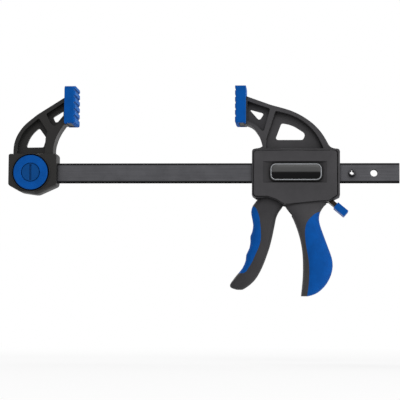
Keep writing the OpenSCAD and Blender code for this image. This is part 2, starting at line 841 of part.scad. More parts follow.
// Cheeks that straddle the bar, hang on the pivot pin and push the drive plates with their noses
module trigger_fork() {
    difference() {
        union() {
            slab(rounded([
                [pivot_x - eye_d / 2, pivot_z, 0], [pivot_x + eye_d / 2, pivot_z, 0], [pivot_x + 7, 0, 10],
                [nose_x, nose_z + 4, 2], [nose_x, nose_z, 0], [nose_x - 1.8, nose_z - 5, 0], [34, -24, 0],
                [12, -24, 0]
            ]), -cheek_out, cheek_out);
            rod(pivot_x, pivot_z, eye_d, -cheek_out, cheek_out);
        }
        slab([[-5, -11.8], [20, -11.8], [44, -15.4], [44, 30], [-5, 30]], -cheek_in, cheek_in);
    }
}

module trigger() {
    color(black)
        moving_place()
            difference() {
                union() {
                    trigger_fork();
                    difference() {
                        trigger_form(0);
                        trigger_soft_zone();
                    }
                }
                rod(pivot_x, pivot_z, pivot_d + 2 * pin_play, -housing_t, housing_t);
            }
}

module trigger_grip() {
    color(blue)
        moving_place()
            intersection() {
                trigger_form(0);
                trigger_soft_zone();
            }
}

module trigger_pin() {
    color(bright)
        moving_place()
            rod(pivot_x, pivot_z, pivot_d, -y_in - pin_seat + 0.1, y_in + pin_seat - 0.1);
}

// ---------------------------------------------------------------- drive

module drive_plate(x) {
    color(steel)
        moving_place()
            difference() {
                translate([x, 0, 0])
                    rotate([90, 0, 90])
                        linear_extrude(drive_plate_t)
                            polygon(rounded(box_outline(-9, 9, -drive_plate_h / 2, drive_plate_h / 2, 1.5)));
                block(x - 1, x + drive_plate_t + 1, -bar_t / 2 - slide_play, bar_t / 2 + slide_play,
                    -bar_h / 2 - slide_play, bar_h / 2 + slide_play);
            }
}

module front_drive_plate() {
    drive_plate(drive_x);
}

module rear_drive_plate() {
    drive_plate(drive_x + drive_plate_t);
}

module drive_spring() {
    color(bright)
        moving_place()
            translate([drive_spring_x0, 0, 0])
                coil(y_in - drive_wire / 2 - 0.2, drive_wire, bulkhead_x - drive_spring_x0, 5, 18);
}

// ---------------------------------------------------------------- brake and release lever

brake_spring_z = 14.2;
lever_len = 19.3;
cap_len = 12.6;
cap_t = 6.6;
cap_wall = 1.6;

// Everything on the brake plate leans back about its pivot
module brake_place() {
    moving_place()
        translate([brake_x, 0, brake_pivot_z])
            rotate([0, -brake_lean, 0])
                children();
}

module brake_plate() {
    t = brake_plate_t / 2;
    half = brake_plate_w / 2;
    z_bar = -brake_pivot_z;
    color(steel)
        brake_place()
            difference() {
                union() {
                    block(-t, t, -half, half, 0, z_bar + 15);
                    rod(0, 0, brake_plate_t, -half, half);
                    rotate([0, -lever_angle - -brake_lean, 0])
                        block(0, lever_len + cap_len - cap_wall, -half, half, -t, t);
                }
                block(-10, 10, -bar_t / 2 - 0.3, bar_t / 2 + 0.3, z_bar - bar_h / 2 - 0.5, z_bar + bar_h / 2 + 0.5);
            }
}

module release_cap() {
    t = brake_plate_t / 2;
    half = brake_plate_w / 2;
    color(blue)
        brake_place()
            rotate([0, -lever_angle - -brake_lean, 0])
                difference() {
                    translate([lever_len, 0, 0])
                        slab(rounded(box_outline(0, cap_len, -cap_t / 2, cap_t / 2, 0.6)),
                            -half - cap_wall, half + cap_wall);
                    block(0, lever_len + cap_len - cap_wall, -half, half, -t, t);
                }
}

module brake_spring() {
    tilt = (brake_spring_z - brake_pivot_z) * sin(brake_lean);
    start = brake_x + brake_plate_t / 2 - tilt + 0.3;
    color(bright)
        moving_place()
            translate([start, 0, brake_spring_z])
                coil(3.4, brake_wire, cavity_right - start, 5, 12);
}

// ---------------------------------------------------------------- assembly

bar();
stop_pin();
fixed_jaw();
fixed_pad();
lock_button();
lock_pin();
lock_clip();
lock_spring();
moving_jaw();
rear_cover();
cover_screws();
moving_pad();
handle_grip();
badge_plate();
badge_rim();
trigger();
trigger_grip();
trigger_pin();
front_drive_plate();
rear_drive_plate();
drive_spring();
brake_plate();
release_cap();
brake_spring();
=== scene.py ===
# %% [markdown]
# # A quick release bar clamp
# A flat steel bar carries two moulded jaws. One is locked to the bar's end. The other slides on the bar
# and holds the trigger that walks it along, plate by plate. The CAD model gives every piece its shape and
# place. This script dresses those pieces, pours the badge's clear dome, which is too thin for CAD, puts a
# copy of each spring on its body, and sets the light and the camera.

# %% Load the clamp
import math

import bmesh
import bpy
from mathutils import Matrix, Vector


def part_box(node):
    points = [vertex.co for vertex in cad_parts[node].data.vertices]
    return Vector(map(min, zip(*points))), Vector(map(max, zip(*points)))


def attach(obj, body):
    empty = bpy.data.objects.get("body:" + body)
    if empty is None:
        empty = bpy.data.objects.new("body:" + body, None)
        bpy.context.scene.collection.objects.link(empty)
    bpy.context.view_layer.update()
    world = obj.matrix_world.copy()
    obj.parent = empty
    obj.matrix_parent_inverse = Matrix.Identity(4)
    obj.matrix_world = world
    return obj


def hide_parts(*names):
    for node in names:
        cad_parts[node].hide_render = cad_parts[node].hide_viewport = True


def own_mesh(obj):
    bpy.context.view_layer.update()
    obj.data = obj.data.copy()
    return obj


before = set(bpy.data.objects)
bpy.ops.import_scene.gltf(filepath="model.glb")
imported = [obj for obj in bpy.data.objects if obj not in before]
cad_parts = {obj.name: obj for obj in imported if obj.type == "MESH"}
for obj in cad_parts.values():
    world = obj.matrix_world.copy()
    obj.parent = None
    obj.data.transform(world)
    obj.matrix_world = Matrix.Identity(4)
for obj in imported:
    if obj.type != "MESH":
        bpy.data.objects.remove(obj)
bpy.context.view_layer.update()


# %% [markdown]
# Colours are picked as sRGB hex values, as on a colour card, while Blender's shaders work in linear
# light. One function does that step for every colour of the clamp.

# %% Turn a hex colour to linear
def linear(code):
    parts = [int(code[i:i + 2], 16) / 255 for i in (1, 3, 5)]
    return [p / 12.92 if p <= 0.04045 else ((p + 0.055) / 1.055) ** 2.4 for p in parts] + [1.0]


print("mid grey #808080 is", round(linear("#808080")[0], 3), "in linear light")


# %% [markdown]
# A finish is a small tree of shader nodes. One function adds a node, sets its properties, and fills
# or links its sockets, so that each finish below reads as a short list. A pattern's scale comes from
# its real size: Blender counts repeats in a metre.

# %% Add a node
def put(tree, kind, sockets=None, **settings):
    made = tree.nodes.new(kind)
    for name, value in settings.items():
        setattr(made, name, value)
    for name, value in (sockets or {}).items():
        if isinstance(value, bpy.types.NodeSocket):
            tree.links.new(value, made.inputs[name])
        else:
            made.inputs[name].default_value = value
    return made


def per_metre(millimetres):
    return 1000 / millimetres


print("a grain of 0.5 mm repeats", per_metre(0.5), "times in a metre")


# %% [markdown]
# ## Moulded plastics
# Nylon, rubber and acetal all leave a steel mould, so they share three things. A fine grain comes
# from the spark-eroded mould, and it scatters light, so the plastic looks paler than its dye. A faint
# cloudiness comes from the way the melt flowed and cooled. Edges are slightly rounded, and handling
# polishes the grain off them: there the plastic is glossier and shows its own colour. Here the grain
# is bump, the cloud moves colour and roughness, and a rounded normal tells where the edges are. Grain
# made as mesh would take millions of faces, and the eye couldn't tell the difference.

# %% Where the edges of a piece are
def new_finish(name):
    finish = bpy.data.materials.new(name)
    finish.use_nodes = True
    finish.node_tree.nodes.clear()
    return finish, finish.node_tree


def edges(tree, radius_mm, share, begins=0.99, complete=0.8):
    """The normal with its edges rounded, and a mask that is share on an edge and 0 away from it.

    An edge begins and is complete where the cosine between rounded and flat normal is as given.
    """
    rounded = put(tree, "ShaderNodeBevel", {"Radius": radius_mm / 1000}, samples=6).outputs["Normal"]
    flat = put(tree, "ShaderNodeNewGeometry").outputs["Normal"]
    alike = put(tree, "ShaderNodeVectorMath", {0: rounded, 1: flat}, operation="DOT_PRODUCT")
    mask = put(tree, "ShaderNodeMapRange", {
        "Value": alike.outputs["Value"], "From Min": begins, "From Max": complete, "To Max": share})
    return rounded, mask.outputs["Result"]


# %% [markdown]
# Little light reaches into a tight inner corner, so the finishes paint shade there. An ambient occlusion
# node measures how open each point is within a few millimetres, and the finishes use it to paint shade
# into grooves, the feet of ribs and the seams round the button. A second, finer one paints the thin dark
# line of shade at the foot of a low step. Light comes mostly from above, so both look a little upwards:
# the painted shade is darker in a corner under a flange than in one that lies open to the top.

# %% Where the corners of a piece are, for painted shade
wide_range, fine_range = (0.35, 0.9), (0.45, 0.85)  # the openness that counts as shut, and as clear
upward = 0.7  # added to the Z of a normal that is 1 long


def corners(tree, reach_mm, level):
    """A factor of painted shade that is 1 on open surfaces and falls to level in tight inner corners."""
    flat = put(tree, "ShaderNodeNewGeometry").outputs["Normal"]
    lifted = put(tree, "ShaderNodeVectorMath", {0: flat, 1: (0.0, 0.0, upward)}, operation="ADD")
    lifted = put(tree, "ShaderNodeVectorMath", {0: lifted.outputs["Vector"]}, operation="NORMALIZE")
    factors = []
    for reach, (shut, clear) in ((reach_mm, wide_range), (reach_mm / 4, fine_range)):
        openness = put(tree, "ShaderNodeAmbientOcclusion", {
            "Distance": reach / 1000, "Normal": lifted.outputs["Vector"]}, samples=8).outputs["AO"]
        factors.append(put(tree, "ShaderNodeMapRange", {
            "Value": openness, "From Min": shut, "From Max": clear, "To Min": level}).outputs["Result"])
    wide, fine = factors
    return put(tree, "ShaderNodeMath", {0: wide, 1: fine}, operation="MULTIPLY").outputs[0]


print("on an upright wall, corners look", round(math.degrees(math.atan(upward))), "degrees upwards")

# %% [markdown]
# Two more masks mark a place on a piece. One is a plain box, for painted shade in a recess. The other
# marks the faces that look along the bar. The pads' finish paints those faces paler, partly as scuffing
# where they rub on the work and partly as a painted highlight of the light from the side.

# %% Where a place on a piece is
def inside(tree, place, low, high):
    """1 where a point lies between the corners low and high, and 0 elsewhere."""
    centre, half = (low + high) / 2, (high - low) / 2
    shifted = put(tree, "ShaderNodeVectorMath", {0: place, 1: centre}, operation="SUBTRACT")
    scaled = put(tree, "ShaderNodeVectorMath", {
        0: shifted.outputs["Vector"], 1: half}, operation="DIVIDE")
    away = put(tree, "ShaderNodeVectorMath", {0: scaled.outputs["Vector"]}, operation="ABSOLUTE")
    x, y, z = put(tree, "ShaderNodeSeparateXYZ", {"Vector": away.outputs["Vector"]}).outputs
    most = put(tree, "ShaderNodeMath", {0: x, 1: y}, operation="MAXIMUM").outputs[0]
    most = put(tree, "ShaderNodeMath", {0: most, 1: z}, operation="MAXIMUM").outputs[0]
    return put(tree, "ShaderNodeMath", {0: most, 1: 1.0}, operation="LESS_THAN").outputs[0]


def end_faces(tree, share, begins=0.7, complete=0.95):
    """A mask that is share on faces that look along X and 0 on the rest.

    It begins and is complete where the cosine between the face's normal and X is as given.
    """
    flat = put(tree, "ShaderNodeNewGeometry").outputs["Normal"]
    along = put(tree, "ShaderNodeSeparateXYZ", {"Vector": flat}).outputs["X"]
    along = put(tree, "ShaderNodeMath", {0: along}, operation="ABSOLUTE").outputs[0]
    return put(tree, "ShaderNodeMapRange", {
        "Value": along, "From Min": begins, "From Max": complete, "To Max": share}).outputs["Result"]


# %% [markdown]
# Now a moulded plastic is a list of choices: its two colours, its roughness, and the sizes of its grain,
# its cloud and its worn edges. The box of painted shade darkens a recess, and the scuff share says how
# pale the piece's end faces are painted, as scuffing and as painted highlight.

# %% A moulded plastic
cloud_range = {"From Min": 0.3, "From Max": 0.7}  # what most of the noise lies between
cloud_shade, cloud_rough = 0.12, 0.06  # how far the cloud moves colour and roughness
edge_gloss = 0.12  # how much smoother a worn edge is
painted_recess_shade = 0.68  # painted shade in a recess, as a share of the colour round it


def moulded(name, body, rubbed, rough, grain_mm, grain_height_mm, cloud_mm, edge_mm, edge_share,
            painted_shade_box=None, scuff_and_highlight=0.0, **sockets):
    finish, tree = new_finish(name)
    place = put(tree, "ShaderNodeTexCoord").outputs["Object"]
    grain = put(tree, "ShaderNodeTexNoise", {
        "Vector": place, "Scale": per_metre(grain_mm), "Detail": 2.0, "Roughness": 0.6}).outputs["Fac"]
    cloud = put(tree, "ShaderNodeTexNoise", {
        "Vector": place, "Scale": per_metre(cloud_mm), "Detail": 4.0, "Roughness": 0.55}).outputs["Fac"]
    rounded, on_edge = edges(tree, edge_mm, edge_share)
    shade = put(tree, "ShaderNodeMapRange", {
        "Value": cloud, **cloud_range, "To Min": 1 - cloud_shade,
        "To Max": 1 + cloud_shade}).outputs["Result"]
    # Painted shade in inner corners and grooves.
    clear = corners(tree, reach_mm=3.0, level=0.25)
    shade = put(tree, "ShaderNodeMath", {0: shade, 1: clear}, operation="MULTIPLY").outputs[0]
    # Painted shade: the colour inside the box is darkened.
    if painted_shade_box:
        smooth = put(tree, "ShaderNodeMapRange", {
            "Value": inside(tree, place, *painted_shade_box), "To Min": 1.0,
            "To Max": painted_recess_shade}).outputs["Result"]
        shade = put(tree, "ShaderNodeMath", {0: shade, 1: smooth}, operation="MULTIPLY").outputs[0]
    tinted = put(tree, "ShaderNodeVectorMath", {0: linear(body)[:3], "Scale": shade}, operation="SCALE")
    wear_and_highlight = on_edge
    # The end faces are painted paler outside the painted corner shade: partly scuffing, partly a painted
    # highlight of the light from the side.
    if scuff_and_highlight:
        scuff_and_highlight_mask = put(tree, "ShaderNodeMath", {
            0: end_faces(tree, scuff_and_highlight), 1: clear}, operation="MULTIPLY").outputs[0]
        wear_and_highlight = put(tree, "ShaderNodeMath", {0: on_edge, 1: scuff_and_highlight_mask}, operation="MAXIMUM").outputs[0]
    colour = put(tree, "ShaderNodeMix", {0: wear_and_highlight, 6: tinted.outputs["Vector"], 7: linear(rubbed)},
                 data_type="RGBA").outputs[2]
    dull = put(tree, "ShaderNodeMapRange", {
        "Value": cloud, **cloud_range, "To Min": rough - cloud_rough, "To Max": rough + cloud_rough})
    polish = put(tree, "ShaderNodeMath", {0: on_edge, 1: edge_gloss}, operation="MULTIPLY").outputs[0]
    roughness = put(tree, "ShaderNodeMath", {0: dull.outputs["Result"], 1: polish}, operation="SUBTRACT")
    bump = put(tree, "ShaderNodeBump", {
        "Height": grain, "Distance": grain_height_mm / 1000, "Normal": rounded}).outputs["Normal"]
    shader = put(tree, "ShaderNodeBsdfPrincipled", {
        "Base Color": colour, "Roughness": roughness.outputs["Value"], "Normal": bump, **sockets})
    put(tree, "ShaderNodeOutputMaterial", {"Surface": shader.outputs["BSDF"]})
    return finish


# %% [markdown]
# Glass-filled nylon, PA66 with about a third of glass fibre, makes both jaws and the trigger. It is dyed
# black, but its fibres and grain scatter light, so it looks charcoal. The mould's grain is about 0.15 mm
# wide. That is too fine to show, so it is drawn at 0.6 mm. The grain also breaks up the gloss, so the
# specular level is low. The nylon is painted darker in the recess round the badge: painted shade. The
# trigger and the locked jaw take darker copies of the same nylon, which is painted shade too.

# %% Black nylon
nylon = dict(body="#3c3b3d", rubbed="#2f2e30", rough=0.6, grain_mm=0.6, grain_height_mm=0.03, cloud_mm=14,
             edge_mm=0.6, edge_share=0.4, IOR=1.53, **{"Specular IOR Level": 0.15})
badge_low, badge_high = (Vector(corner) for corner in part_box("badge_plate"))
# The recess reaches 8 mm left and 6 mm right of the badge, and 3 mm above and below it. In depth, the box
# of painted shade goes from just behind the badge's face to 1 mm behind its back.
recess_low = badge_low + Vector((-0.008, 0.00035, -0.003))
recess_high = badge_high + Vector((0.006, 0.001, 0.003))
housing_nylon = moulded(
    "glass-filled nylon, painted shade in the recess", painted_shade_box=(recess_low, recess_high), **nylon)
# The trigger and the locked jaw take darker copies of the nylon: painted shade.
shaded_trigger_nylon = moulded("glass-filled nylon, trigger, painted shade", **{**nylon, "body": "#343335"})
shaded_jaw_nylon = moulded(
    "glass-filled nylon, painted shade, darker", **{**nylon, "body": "#1a1918", "rubbed": "#1d1c1c", "rough": 0.5,
                                     "edge_share": 0.6, "Specular IOR Level": 0.22})
print("nylon finishes:", housing_nylon.name, "/", shaded_trigger_nylon.name, "/", shaded_jaw_nylon.name)
print("painted shade box:", [round(1000 * side, 1) for side in recess_high - recess_low], "mm")

# %% [markdown]
# Thermoplastic rubber makes the pads and the soft inserts of both grips. It is softer and duller than
# nylon and nearly without gloss, so its blue stays deep from every side. Its skin scuffs pale where it
# rubs on edges. The faces of the pads that look along the bar are painted paler too, except in their
# grooves. This is partly scuffing where they rub on the work and partly a painted highlight of the light
# from the side. Its grain is as fine as the nylon's, and is drawn at 0.8 mm.

# %% Blue rubber
rubber = dict(body="#064c98", rubbed="#2a6cc0", rough=0.66, grain_mm=0.8, grain_height_mm=0.04,
              cloud_mm=9, edge_mm=0.5, edge_share=0.35, IOR=1.48, **{"Specular IOR Level": 0.07})
blue_rubber = moulded("thermoplastic rubber", **rubber)
# The pads' end faces are painted paler, as scuffing and as painted highlight.
pad_rubber = moulded("thermoplastic rubber, scuffs and painted highlight", scuff_and_highlight=0.5,
                     **{**rubber, "rubbed": "#3f7dcc", "Specular IOR Level": 0.05})
print("rubber finishes:", blue_rubber.name, "/", pad_rubber.name)

# %% [markdown]
# Acetal makes the lock button, the lock pin and the release lever's cap. It is hard and slippery, so it
# takes a cleaner, glossier surface from the mould than rubber does, with a lower grain, drawn at 0.5 mm.
# The pin's acetal holds glass fibre, which makes it a little duller. Its darker blue is painted shade for
# the recess that its head sits in.

# %% Blue acetal
acetal = dict(body="#074c98", rubbed="#062f66", rough=0.38, grain_mm=0.5, grain_height_mm=0.01,
              cloud_mm=10, edge_mm=0.5, edge_share=0.6, IOR=1.48, **{"Specular IOR Level": 0.06})
blue_acetal = moulded("acetal", **acetal)
filled_acetal = moulded("glass-filled acetal", **{**acetal, "body": "#0b437f", "rough": 0.5})
print("acetal finishes:", blue_acetal.name, "/", filled_acetal.name)


# %% [markdown]
# ## Metals
# A metal has no body colour of its own: its colour tints what it reflects. What sets one steel apart from
# another is how its surface was made. Rolling and brushing leave long scratches along the bar, blanking
# leaves a plain dull face, and zinc plating leaves a fine bright one. So each steel gets a tint, a
# roughness and a scratch with a length and a width, stretched along X, which is the way that the bar
# runs, and is clouded by stains some 18 mm wide. The edge tint marks worn edges. Where a rim is given,
# the edge tint is also painted as far in from the piece's top and bottom as the rim says; on the bar this
# is painted shade on its rounded edges. Every steel also takes painted shade in its inner corners.

# %% A steel
mottle_range = {"From Min": 0.7, "From Max": 1.3}  # what most of scratch plus stain lies between
mottle_shade, mottle_rough = 0.16, 0.08  # how far that sum moves tint and roughness
rim_blur = 0.0002  # half the width, in metres, over which the rim fades into the flat


def steel(name, tint, edge_tint, rough, scratch_mm, scratch_length_mm, scratch_height_mm, edge_mm,
          edge_share, rim=None, stain_mm=18, **sockets):
    finish, tree = new_finish(name)
    place = put(tree, "ShaderNodeTexCoord").outputs["Object"]
    stretched = put(tree, "ShaderNodeMapping", {
        "Vector": place, "Scale": (scratch_mm / scratch_length_mm, 1.0, 1.0)}).outputs["Vector"]
    scratch = put(tree, "ShaderNodeTexNoise", {
        "Vector": stretched, "Scale": per_metre(scratch_mm), "Detail": 3.0,
        "Roughness": 0.65}).outputs["Fac"]
    stain = put(tree, "ShaderNodeTexNoise", {
        "Vector": place, "Scale": per_metre(stain_mm), "Detail": 4.0, "Roughness": 0.6}).outputs["Fac"]
    rounded, on_edge = edges(tree, edge_mm, edge_share)
    # A rim paints the edge tint along the piece's top and bottom; on the bar this is painted shade.
    if rim:
        bottom, top, width = rim
        height = put(tree, "ShaderNodeSeparateXYZ", {"Vector": place}).outputs["Z"]
        away = put(tree, "ShaderNodeMath", {0: height, 1: (bottom + top) / 2}, operation="SUBTRACT")
        away = put(tree, "ShaderNodeMath", {0: away.outputs[0]}, operation="ABSOLUTE").outputs[0]
        reach = (top - bottom) / 2 - width
        on_rim = put(tree, "ShaderNodeMapRange", {
            "Value": away, "From Min": reach - rim_blur, "From Max": reach + rim_blur}).outputs["Result"]
        on_edge = put(tree, "ShaderNodeMath", {0: on_edge, 1: on_rim}, operation="MAXIMUM").outputs[0]
    both = put(tree, "ShaderNodeMath", {0: scratch, 1: stain}, operation="ADD").outputs["Value"]
    shade = put(tree, "ShaderNodeMapRange", {
        "Value": both, **mottle_range, "To Min": 1 - mottle_shade,
        "To Max": 1 + mottle_shade}).outputs["Result"]
    # Painted shade in inner corners and grooves.
    clear = corners(tree, reach_mm=2.5, level=0.4)
    shade = put(tree, "ShaderNodeMath", {0: shade, 1: clear}, operation="MULTIPLY").outputs[0]
    tinted = put(tree, "ShaderNodeVectorMath", {0: linear(tint)[:3], "Scale": shade}, operation="SCALE")
    colour = put(tree, "ShaderNodeMix", {0: on_edge, 6: tinted.outputs["Vector"], 7: linear(edge_tint)},
                 data_type="RGBA").outputs[2]
    roughness = put(tree, "ShaderNodeMapRange", {
        "Value": both, **mottle_range, "To Min": rough - mottle_rough, "To Max": rough + mottle_rough})
    bump = put(tree, "ShaderNodeBump", {
        "Height": scratch, "Distance": scratch_height_mm / 1000, "Normal": rounded}).outputs["Normal"]
    shader = put(tree, "ShaderNodeBsdfPrincipled", {
        "Base Color": colour, "Metallic": 1.0, "Roughness": roughness.outputs["Result"], "Normal": bump,
        **sockets})
    put(tree, "ShaderNodeOutputMaterial", {"Surface": shader.outputs["BSDF"]})
    return finish


# %% [markdown]
# The bar is cold-drawn flat steel, chemically blackened so that it doesn't rust. Its flats are dark grey
# with faint draw lines along the bar, and its rounded top and bottom edges are painted nearly black:
# painted shade. The lines are about 0.1 mm wide, and are drawn at 0.7 mm so that they show. The scratches
# of the blanked plates and the zinc's crystals are finer still, and are drawn coarser too.

# %% The steels
bar_low, bar_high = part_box("bar")
# The bar's dark edge tint and its rim are painted shade on its rounded edges.
bar_shade_rim = 0.0019  # metres
bar_steel = steel(
    "blackened drawn steel", tint="#4d4d50", edge_tint="#1d1d1e", rough=0.42, scratch_mm=0.7,
    scratch_length_mm=60, scratch_height_mm=0.01, edge_mm=0.8, edge_share=0.6,
    rim=(bar_low[2], bar_high[2], bar_shade_rim), **{"Specular Tint": linear("#3a3a3c")})
plate_steel = steel(
    "hardened blanked steel", tint="#2b2520", edge_tint="#3d362f", rough=0.45, scratch_mm=0.8,
    scratch_length_mm=3, scratch_height_mm=0.01, edge_mm=0.3, edge_share=0.6)
zinc_steel = steel(
    "zinc-plated steel", tint="#b4b7ba", edge_tint="#d2d4d6", rough=0.28, scratch_mm=0.5,
    scratch_length_mm=1, scratch_height_mm=0.004, edge_mm=0.2, edge_share=0.5)
print("steels:", bar_steel.name, "/", plate_steel.name, "/", zinc_steel.name)
print("bar:", round(1000 * (bar_high[2] - bar_low[2]), 1), "mm high, black for", 1000 * bar_shade_rim, "mm")

# %% [markdown]
# The badge on the housing is bare. On such clamps it is a black plate with a bright line let into it,
# and a printed label inside that line under a clear cast resin dome. The plate is smooth as glass, so
# its grain is nearly nothing, and it reflects more sharply than the moulded pieces do.

# %% Badge finishes
resin_black = moulded(
    "gloss black styrene", body="#0a0a0b", rubbed="#1a1a1d", rough=0.2, grain_mm=6, grain_height_mm=0.004,
    cloud_mm=20, edge_mm=0.2, edge_share=0.3, IOR=1.5, **{"Specular IOR Level": 0.25})
bright_rim = steel(
    "bright plated rim", tint="#8b8d90", edge_tint="#a9abae", rough=0.34, scratch_mm=0.5,
    scratch_length_mm=1, scratch_height_mm=0.002, edge_mm=0.2, edge_share=0.5)
print("badge:", resin_black.name, "and", bright_rim.name)


# %% [markdown]
# The label is black, and its upper half is painted a lighter grey, and the label grows brighter towards
# the top: a painted reflection of the light on the dome. The two greys meet across its middle, and a coat
# on the shader stands for the clear resin over it. The painted reflection follows the height Z within the
# badge, so the finish takes the badge's own height in millimetres, and how far the greys blend on both
# sides of the middle. The printer's dots are drawn at 0.4 mm, a few times too coarse.

# %% A label under clear resin, with a painted reflection
reflection_fade_range = {"To Min": 0.8, "To Max": 1.25}  # the label's shade at its foot and head, a painted reflection
dot_range = {"To Min": 0.9, "To Max": 1.1}  # how far the dots move it


def label_with_painted_reflection(upper, lower, height_mm, blend_mm, dot_mm):
    finish, tree = new_finish("label under cast resin")
    place = put(tree, "ShaderNodeTexCoord").outputs["Object"]
    up = put(tree, "ShaderNodeSeparateXYZ", {"Vector": place}).outputs["Z"]
    dots = put(tree, "ShaderNodeTexNoise", {
        "Vector": place, "Scale": per_metre(dot_mm), "Detail": 1.0}).outputs["Fac"]
    step = put(tree, "ShaderNodeMapRange", {
        "Value": up, "From Min": -blend_mm / 1000, "From Max": blend_mm / 1000},
        interpolation_type="SMOOTHSTEP").outputs["Result"]
    fade = put(tree, "ShaderNodeMapRange", {
        "Value": up, "From Min": -height_mm / 2000, "From Max": height_mm / 2000,
        **reflection_fade_range}).outputs["Result"]
    dotted = put(tree, "ShaderNodeMapRange", {"Value": dots, **dot_range}).outputs["Result"]
    fade = put(tree, "ShaderNodeMath", {0: fade, 1: dotted}, operation="MULTIPLY")
    greys = put(tree, "ShaderNodeMix", {0: step, 6: linear(lower), 7: linear(upper)}, data_type="RGBA")
    print_and_reflection = put(tree, "ShaderNodeVectorMath", {
        0: greys.outputs[2], "Scale": fade.outputs[0]}, operation="SCALE").outputs["Vector"]
    shader = put(tree, "ShaderNodeBsdfPrincipled", {
        "Base Color": print_and_reflection, "Roughness": 0.35, "Specular IOR Level": 0.05, "Coat Weight": 0.1,
        "Coat Roughness": 0.12, "Coat IOR": 1.5})
    put(tree, "ShaderNodeOutputMaterial", {"Surface": shader.outputs["BSDF"]})
    return finish


# The upper grey is a painted reflection; the lower one is the label's own black.
label = label_with_painted_reflection(upper="#474747", lower="#050506", height_mm=13, blend_mm=0.9, dot_mm=0.4)
print("label finish:", label.name)


# %% [markdown]
# ## Dressing the pieces
# Every CAD piece takes the finish of what it is made of. The names on the left are the finishes
# above, and the lists hold the pieces.

# %% Give each piece its finish
dressed = (
    (housing_nylon, ["moving_jaw", "rear_cover"]),
    (shaded_trigger_nylon, ["trigger"]),
    (shaded_jaw_nylon, ["fixed_jaw"]),
    (pad_rubber, ["fixed_pad", "moving_pad"]),
    (blue_rubber, ["handle_grip", "trigger_grip"]),
    (blue_acetal, ["lock_button", "release_cap"]),
    (filled_acetal, ["lock_pin"]),
    (bar_steel, ["bar", "stop_pin"]),
    (plate_steel, ["front_drive_plate", "rear_drive_plate", "brake_plate"]),
    (zinc_steel, ["lock_clip", "cover_screws", "trigger_pin", "lock_spring", "drive_spring",
                  "brake_spring"]),
    (resin_black, ["badge_plate"]),
    (bright_rim, ["badge_rim"]),
)


def dress(piece, finish):
    piece.data.materials.clear()
    piece.data.materials.append(finish)


for finish, names in dressed:
    for name in names:
        dress(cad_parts[name], finish)
    print(finish.name, "->", ", ".join(names))


# %% [markdown]
# The grips and arms come from CAD as many small flats. On the real mouldings they are one smooth skin,
# with sharp lines only at edges and where nylon meets rubber. A small geometry tree joins the flats,
# drops the stored normals and shades smoothly across every edge that turns less than 40 degrees. It
# only shades, so the shape stays as CAD has it.

# %% Shade grips and arms as one skin
def smooth_skin(name, degrees, touching):
    """A geometry tree that joins points nearer than touching, in metres, and smooths gentle edges."""
    tree = bpy.data.node_groups.new(name, "GeometryNodeTree")
    for way in ("INPUT", "OUTPUT"):
        tree.interface.new_socket("Geometry", in_out=way, socket_type="NodeSocketGeometry")
    turn = put(tree, "GeometryNodeInputMeshEdgeAngle").outputs["Unsigned Angle"]
    gentle = put(tree, "FunctionNodeCompare", {
        0: turn, 1: math.radians(degrees)}, operation="LESS_THAN").outputs["Result"]
    skin = put(tree, "NodeGroupInput").outputs["Geometry"]
    for kind, sockets, settings in (
            ("GeometryNodeMergeByDistance", {"Distance": touching}, {}),
            ("GeometryNodeRemoveAttribute", {"Name": "custom_normal"}, {}),
            ("GeometryNodeSetShadeSmooth", {"Shade Smooth": True}, {"domain": "FACE"}),
            ("GeometryNodeSetShadeSmooth", {"Shade Smooth": gentle}, {"domain": "EDGE"})):
        skin = put(tree, kind, {"Geometry": skin, **sockets}, **settings).outputs["Geometry"]
    put(tree, "NodeGroupOutput", {"Geometry": skin})
    return tree


skin_tree = smooth_skin("one skin", degrees=40, touching=1e-6)
skinned = ["moving_jaw", "handle_grip", "trigger", "trigger_grip", "fixed_jaw"]
for name in skinned:
    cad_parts[name].modifiers.new("one skin", "NODES").node_group = skin_tree
print("shaded as one skin:", ", ".join(skinned))


# %% [markdown]
# The resin dome fills the space inside the bright line. Poured resin pulls itself into a pillow: it is
# steep at its edge and nearly flat in the middle. The CAD model leaves it out because it is so thin.
# Here it is made of rings that shrink towards the label's middle line while they rise, with its size
# taken from the bright line itself. The higher the power called flatness, the flatter is the top.
# Smooth shading makes one skin of its facets.

# %% Pour the badge's dome
def rounded_ring(half_length, half_height, radius, steps):
    ring = []
    for corner_x, corner_z, start in ((1, 1, 0), (-1, 1, 90), (-1, -1, 180), (1, -1, 270)):
        for k in range(steps + 1):
            turn = math.radians(start + 90 * k / steps)
            ring.append((corner_x * (half_length - radius) + radius * math.cos(turn),
                         corner_z * (half_height - radius) + radius * math.sin(turn)))
    return ring


